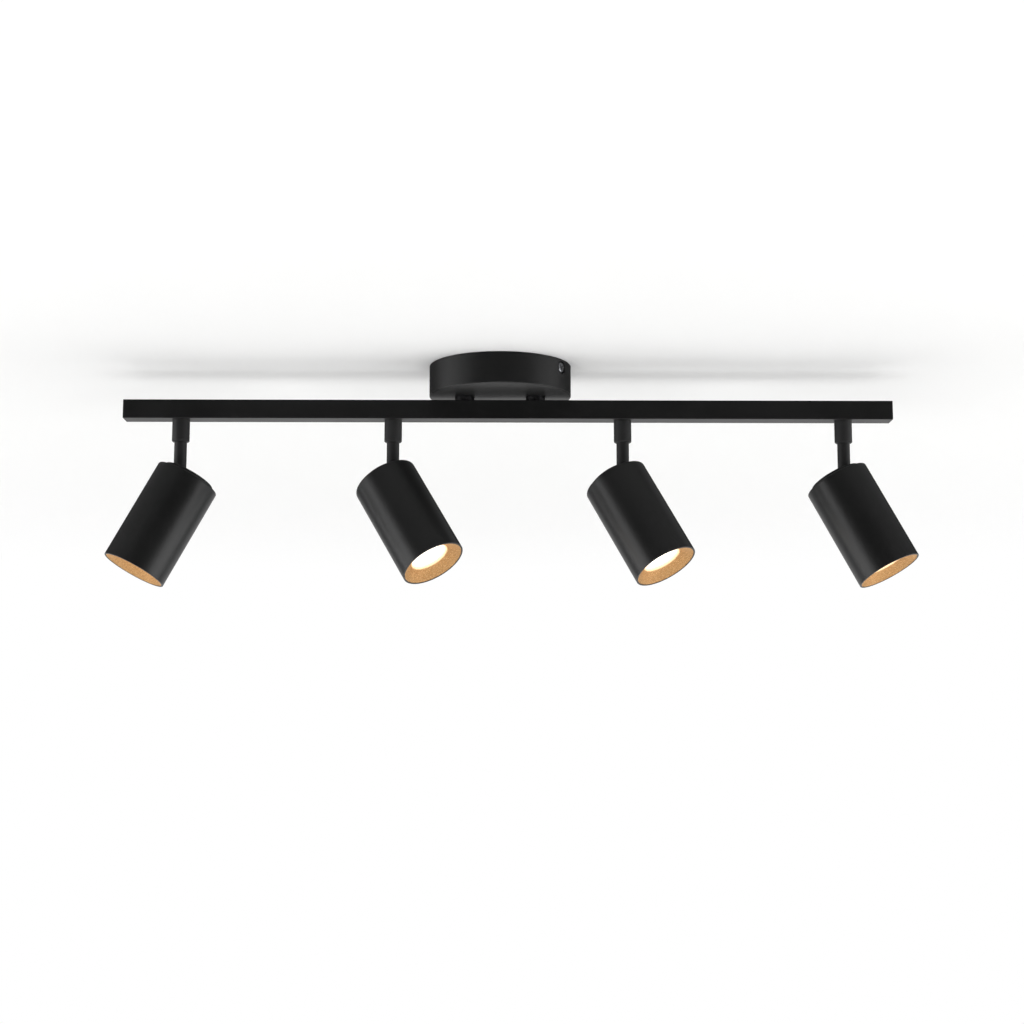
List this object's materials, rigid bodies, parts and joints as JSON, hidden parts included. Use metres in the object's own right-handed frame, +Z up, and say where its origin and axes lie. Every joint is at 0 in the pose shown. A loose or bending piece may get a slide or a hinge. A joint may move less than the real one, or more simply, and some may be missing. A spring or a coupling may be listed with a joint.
{
  "type": "track lighting fixture",
  "caption": "Surface-mounted ceiling spotlight bar: round canopy, slim rectangular bar and cylindrical heads on stems that swivel and tilt.",
  "frame": {"origin": "centre of the ceiling bracket in the ceiling plane, on the canopy's axis", "axes": "+Z up into the ceiling, +X along the bar, -Y towards the front of the room"},
  "size_m": [0.6778, 0.12, 0.1909],
  "materials": {
    "black_powder_coat": "matte fine-texture black powder coat on steel",
    "black_head_coat": "matte black powder coat on aluminium",
    "black_cap_coat": "matte black powder coat on die-cast aluminium",
    "gold_liner": "matte gold coat on spun aluminium",
    "zinc_steel": "bright zinc-plated steel",
    "black_steel": "black oxide steel",
    "black_plastic": "matte black moulded plastic",
    "white_plastic": "white moulded plastic",
    "ceramic": "unglazed white steatite",
    "lamp_housing": "satin white thermoplastic",
    "brass": "nickel-free turned brass",
    "lead_sheath": "black silicone sheath",
    "earth_sheath": "green and yellow sheath",
    "lamp_lens": "frosted glowing lens"
  },
  "bodies": {
    "root": {"mounting_bracket": "zinc_steel", "canopy": "black_powder_coat", "canopy_side_screws": "zinc_steel", "terminal_block": "white_plastic", "terminal_screws": "brass", "earth_screw": "brass", "earth_lead": "earth_sheath", "canopy_studs": "black_steel", "stud_nuts": "zinc_steel", "bar_body": "black_powder_coat", "end_cap_left": "black_plastic", "end_cap_right": "black_plastic", "collar_grub_screws": "black_steel", "swivel_collar_1": "black_powder_coat", "lead_1": "lead_sheath", "swivel_collar_2": "black_powder_coat", "lead_2": "lead_sheath", "swivel_collar_3": "black_powder_coat", "lead_3": "lead_sheath", "swivel_collar_4": "black_powder_coat", "lead_4": "lead_sheath"},
    "stem_1": {"stem_1": "black_powder_coat", "pivot_fixings_1": "black_steel"},
    "head_1": {"head_shell_1": "black_head_coat", "back_cap_1": "black_cap_coat", "lampholder_1": "ceramic", "holder_screws_1": "zinc_steel", "lamp_body_1": "lamp_housing", "lamp_lens_1": "lamp_lens", "reflector_1": "gold_liner"},
    "stem_2": {"stem_2": "black_powder_coat", "pivot_fixings_2": "black_steel"},
    "head_2": {"head_shell_2": "black_head_coat", "back_cap_2": "black_cap_coat", "lampholder_2": "ceramic", "holder_screws_2": "zinc_steel", "lamp_body_2": "lamp_housing", "lamp_lens_2": "lamp_lens", "reflector_2": "gold_liner"},
    "stem_3": {"stem_3": "black_powder_coat", "pivot_fixings_3": "black_steel"},
    "head_3": {"head_shell_3": "black_head_coat", "back_cap_3": "black_cap_coat", "lampholder_3": "ceramic", "holder_screws_3": "zinc_steel", "lamp_body_3": "lamp_housing", "lamp_lens_3": "lamp_lens", "reflector_3": "gold_liner"},
    "stem_4": {"stem_4": "black_powder_coat", "pivot_fixings_4": "black_steel"},
    "head_4": {"head_shell_4": "black_head_coat", "back_cap_4": "black_cap_coat", "lampholder_4": "ceramic", "holder_screws_4": "zinc_steel", "lamp_body_4": "lamp_housing", "lamp_lens_4": "lamp_lens", "reflector_4": "gold_liner"}
  },
  "joints": [
    {"name": "swivel_1", "type": "hinge", "parent": "root", "child": "stem_1", "pos_m": [-0.27, 0, -0.055], "axis": [0, 0, 1], "range_deg": [-87, 233]},
    {"name": "tilt_1", "type": "hinge", "parent": "stem_1", "child": "head_1", "pos_m": [-0.27, 0, -0.1085], "axis": [-0.2924, 0.9563, 0], "range_deg": [-66.4, 9.6], "deforming": ["lead_1"]},
    {"name": "swivel_2", "type": "hinge", "parent": "root", "child": "stem_2", "pos_m": [-0.0905, 0, -0.055], "axis": [0, 0, 1], "range_deg": [-215.5, 104.5]},
    {"name": "tilt_2", "type": "hinge", "parent": "stem_2", "child": "head_2", "pos_m": [-0.0905, 0, -0.1085], "axis": [-0.5664, -0.8241, 0], "range_deg": [-72.5, 3.5], "deforming": ["lead_2"]},
    {"name": "swivel_3", "type": "hinge", "parent": "root", "child": "stem_3", "pos_m": [0.1038, 0, -0.055], "axis": [0, 0, 1], "range_deg": [-216.5, 103.5]},
    {"name": "tilt_3", "type": "hinge", "parent": "stem_3", "child": "head_3", "pos_m": [0.1038, 0, -0.1085], "axis": [-0.5519, -0.8339, 0], "range_deg": [-70, 6], "deforming": ["lead_3"]},
    {"name": "swivel_4", "type": "hinge", "parent": "root", "child": "stem_4", "pos_m": [0.291, 0, -0.055], "axis": [0, 0, 1], "range_deg": [-227.5, 92.5]},
    {"name": "tilt_4", "type": "hinge", "parent": "stem_4", "child": "head_4", "pos_m": [0.291, 0, -0.1085], "axis": [-0.3827, -0.9239, 0], "range_deg": [-66.3, 9.7], "deforming": ["lead_4"]}
  ]
}
